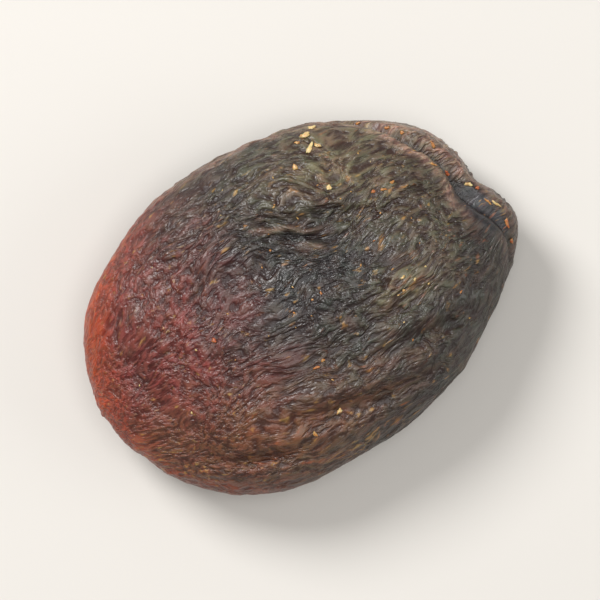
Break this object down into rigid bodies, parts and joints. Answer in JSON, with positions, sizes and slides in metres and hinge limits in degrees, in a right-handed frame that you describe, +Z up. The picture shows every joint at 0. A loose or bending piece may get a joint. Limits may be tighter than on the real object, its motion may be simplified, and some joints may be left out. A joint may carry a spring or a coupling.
{
  "type": "dried apricot",
  "caption": "Whole dried apricot without its stone: a flattened oval fruit with dark wrinkled skin, an orange-red rim and a seam that gapes at the stem end.",
  "frame": {"origin": "bottom centre of the bounding box, on the surface that the fruit lies on", "axes": "+X along the long axis to the stem end, +Y to the side where the seam gapes, +Z up through the upper cheek"},
  "size_m": [0.0424, 0.0306, 0.0131],
  "materials": {
    "skin": "satin"
  },
  "bodies": {
    "root": {"dried_apricot": "skin"}
  },
  "joints": []
}
